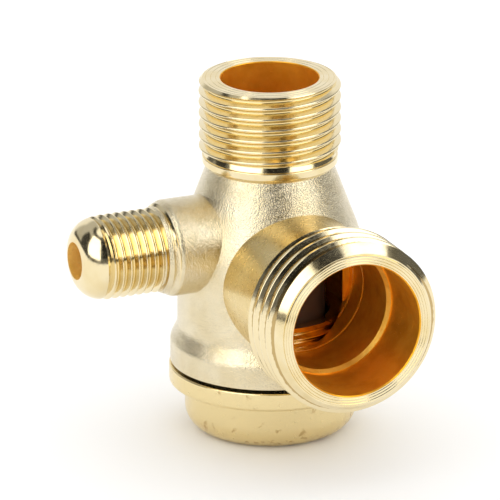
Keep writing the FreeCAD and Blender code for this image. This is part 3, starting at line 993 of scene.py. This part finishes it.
class VALVE_OT_spring(bpy.types.Operator):
    """Build the return spring with closed, ground ends"""
    bl_idname = "valve.spring"
    bl_label = "Return Spring"

    def execute(self, context):
        size = context.scene.valve_spring
        steel = materials()["spring_steel"]
        spring = self.wire(size)
        spring.data.materials.clear()
        spring.data.materials.append(steel)
        reach = size.coil_radius + 2 * size.wire_radius
        ground = turned("ground_ends", [
            (0, POCKET_Z), (reach, POCKET_Z), (reach, SHUTTER_WEB_Z), (0, SHUTTER_WEB_Z),
        ], steel)
        combine(spring, ground, "INTERSECT")
        smooth(spring)
        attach(spring, "housing")
        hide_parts("return_spring")
        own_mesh(spring)
        return {"FINISHED"}

    def wire(self, size):
        """The wire's middle line, drawn point by point and given its thickness."""
        low = POCKET_Z + size.end_rise * size.wire_radius
        high = SHUTTER_WEB_Z - size.end_rise * size.wire_radius
        closed = 2 * size.wire_radius * size.end_turns
        total = size.turns + 2 * size.end_turns
        points = []
        for k in range(round(total * SPRING_STEPS) + 1):
            turn = k / SPRING_STEPS
            open_part = min(max((turn - size.end_turns) / size.turns, 0), 1)
            ends = min(turn, size.end_turns) + max(turn - size.turns - size.end_turns, 0)
            height = low + 2 * size.wire_radius * ends + (high - low - 2 * closed) * open_part
            angle = 2 * math.pi * turn
            x = size.coil_radius * math.cos(angle)
            y = size.coil_radius * math.sin(angle)
            points.append(Vector((x, y, height)))
        draw("return_spring_dressed", points)
        bpy.ops.object.mode_set(mode="OBJECT")
        bpy.ops.object.convert(target="CURVE")
        curve = bpy.context.object.data
        curve.bevel_depth = size.wire_radius
        curve.bevel_resolution = WIRE_ROUNDNESS
        curve.use_fill_caps = True
        bpy.ops.object.convert(target="MESH")
        spring = bpy.context.object
        bpy.ops.object.mode_set(mode="EDIT")
        weld()
        bpy.ops.object.mode_set(mode="OBJECT")
        return spring


class VALVE_OT_shutter(bpy.types.Operator):
    """Give the seal ring, shutter, disc, washer and screw their finishes"""
    bl_idname = "valve.shutter"
    bl_label = "Shutter And Seals"

    def execute(self, context):
        finish = materials()
        for node, name in (
            ("cap_seal_ring", "nitrile_rubber"), ("shutter", "brown_nylon"), ("seal_disc", "nitrile_rubber"),
            ("disc_washer", "stainless_steel"), ("disc_screw", "stainless_steel"),
        ):
            piece = frame["nodes"][node]
            piece.data.materials.clear()
            piece.data.materials.append(finish[name])
        return {"FINISHED"}


# What a reflection sees of the studio. Each card has its left and right edge, in degrees round from the
# camera, its low and high edge, in degrees of elevation, its level, and the softness of its edges in degrees
CARDS = (
    (-400, 400, 74, 91, 1.30, 4),       # top of the tent
    (-400, -143, -30, 35, 1.00, 12),    # wall behind the valve, to the left
    (143, 400, -30, 35, 1.00, 12),      # and to the right
    (-140, 140, -8, 7, 0.10, 4),        # dark gap between the table and the softbox
    (-108, -74, -8, 50, 0.05, 6),       # flag at the left
    (80, 122, -8, 36, 0.14, 6),         # flag at the right
    (-150, 150, 64, 75, 0.06, 6),       # dark gap between the softbox and the top
    (-74, 80, 8, 64, 2.40, 4),          # softbox in front
    (70, 104, 36, 64, 2.40, 4),         # its upper right corner, above the flag
    (-14, 36, -8, 30, 0.02, 4),         # flag before the softbox, low part
    (-14, 46, 28, 66, 0.03, 5),         # its wider high part
    (-14, 36, -8, 15, 0.14, 4),         # its foot, which takes some light from the table
    (-400, 400, -95, -5, 1.15, 3),      # white table
)
BARE_LEVEL = 0.55                       # of the tent where no card stands
ROOM_LEVEL = 1.16                       # of the light on all but reflections


class VALVE_OT_stage(bpy.types.Operator):
    """Set the floor, the studio's soft light and the camera"""
    bl_idname = "valve.stage"
    bl_label = "Stage"

    def execute(self, context):
        studio = context.scene.valve_studio
        self.floor(studio)
        self.light(studio)
        self.camera(studio)
        context.scene.view_settings.view_transform = "Standard"
        return {"FINISHED"}

    def floor(self, studio):
        """A sheet of white paper, matt and without a highlight, which keeps the valve's shadow."""
        bpy.ops.object.select_all(action="DESELECT")
        bpy.ops.mesh.primitive_plane_add(size=studio.floor_size, location=(0, 0, 0))
        floor = bpy.context.object
        floor.name = "floor"
        uniform = {"Base Color": linear(studio.paper), "Roughness": 1.0, "Specular IOR Level": 0.0}
        new_material("white_paper", uniform)
        floor.data.materials.append(bpy.data.materials["white_paper"])

    def light(self, studio):
        """A white tent for all but reflections, which see the studio's cards."""
        world = bpy.data.worlds.new("studio")
        bpy.context.scene.world = world
        world.use_nodes = True
        world.cycles.sampling_method = "NONE"
        tree = world.node_tree
        tree.nodes.clear()
        direction = add(tree, "ShaderNodeTexCoord").outputs["Generated"]
        turned_way = add(tree, "ShaderNodeVectorRotate", {
            "Vector": direction, "Angle": -studio.camera_azimuth,
        }, rotation_type="Z_AXIS").outputs[0]
        parts = add(tree, "ShaderNodeSeparateXYZ", {0: turned_way}).outputs
        ahead = add(tree, "ShaderNodeMath", {0: parts[1], 1: -1.0}, operation="MULTIPLY").outputs[0]
        round_way = add(tree, "ShaderNodeMath", {0: parts[0], 1: ahead}, operation="ARCTAN2").outputs[0]
        upward = add(tree, "ShaderNodeMath", {0: parts[2]}, operation="ARCSINE").outputs[0]
        level = BARE_LEVEL
        for left, right, low, high, brightness, soft in CARDS:
            mask = self.card(tree, round_way, upward, left, right, low, high, soft)
            level = add(tree, "ShaderNodeMix", {0: mask, 2: level, 3: brightness}).outputs[0]
        path = add(tree, "ShaderNodeLightPath").outputs
        shade = add(tree, "ShaderNodeMix", {0: path["Is Glossy Ray"], 2: ROOM_LEVEL, 3: level}).outputs[0]
        seen = add(tree, "ShaderNodeMix", {0: path["Is Camera Ray"], 2: shade, 3: 1.0}).outputs[0]
        tone = add(tree, "ShaderNodeCombineXYZ", {0: seen, 1: seen, 2: seen}).outputs[0]
        background = add(tree, "ShaderNodeBackground", {"Color": tone, "Strength": 1.0})
        add(tree, "ShaderNodeOutputWorld", {"Surface": background.outputs[0]})

    def card(self, tree, round_way, upward, left, right, low, high, soft):
        """A soft-edged patch of the studio, as a mask."""
        edges = ((round_way, left, 1), (round_way, right, 0), (upward, low, 1), (upward, high, 0))
        mask = 1.0
        for value, edge, inside in edges:
            side = add(tree, "ShaderNodeMapRange", {
                "Value": value,
                "From Min": math.radians(edge - soft / 2), "From Max": math.radians(edge + soft / 2),
                "To Min": 1 - inside, "To Max": inside,
            }, interpolation_type="SMOOTHSTEP").outputs[0]
            mask = add(tree, "ShaderNodeMath", {0: mask, 1: side}, operation="MULTIPLY").outputs[0]
        return mask

    def camera(self, studio):
        """The photograph's camera."""
        azimuth = studio.camera_azimuth
        elevation = studio.camera_elevation
        level_way = math.cos(elevation)
        back = Vector((math.sin(azimuth) * level_way, -math.cos(azimuth) * level_way, math.sin(elevation)))
        right = Vector((math.cos(azimuth), math.sin(azimuth), 0))
        right = Matrix.Rotation(studio.camera_roll, 3, back) @ right
        up = back.cross(right)
        bpy.ops.object.camera_add()
        camera = bpy.context.object
        camera.name = "photo_camera"
        camera.data.sensor_width = studio.sensor_width
        camera.data.lens = studio.lens
        camera.data.clip_start = studio.clip_start
        camera.data.clip_end = studio.clip_end
        stand = Matrix.Translation(Vector(studio.target) + back * studio.camera_distance)
        camera.matrix_world = stand @ Matrix((right, up, back)).transposed().to_4x4()
        bpy.context.scene.camera = camera


class VALVE_PT_panel(bpy.types.Panel):
    """Lists the pieces and the stage"""
    bl_idname = "VALVE_PT_panel"
    bl_label = "Non-return Valve"
    bl_space_type = "VIEW_3D"
    bl_region_type = "UI"
    bl_category = "Valve"

    def draw(self, context):
        for operator in OPERATORS:
            self.layout.operator(operator.bl_idname)


OPERATORS = (VALVE_OT_body, VALVE_OT_cap, VALVE_OT_spring, VALVE_OT_shutter, VALVE_OT_stage)
GROUPS = {
    "valve_body": VALVE_PG_body,
    "valve_cap": VALVE_PG_cap,
    "valve_spring": VALVE_PG_spring,
    "valve_finish": VALVE_PG_finish,
    "valve_studio": VALVE_PG_studio,
}
CLASSES = (*GROUPS.values(), *OPERATORS, VALVE_PT_panel)


def register():
    for each in CLASSES:
        bpy.utils.register_class(each)
    for name, group in GROUPS.items():
        setattr(bpy.types.Scene, name, bpy.props.PointerProperty(type=group))


def unregister():
    for name in GROUPS:
        delattr(bpy.types.Scene, name)
    for each in reversed(CLASSES):
        bpy.utils.unregister_class(each)


def main():
    register()
    bpy.ops.valve.body()
    bpy.ops.valve.cap()
    bpy.ops.valve.spring()
    bpy.ops.valve.shutter()
    bpy.ops.valve.stage()


if __name__ == "__main__":
    main()
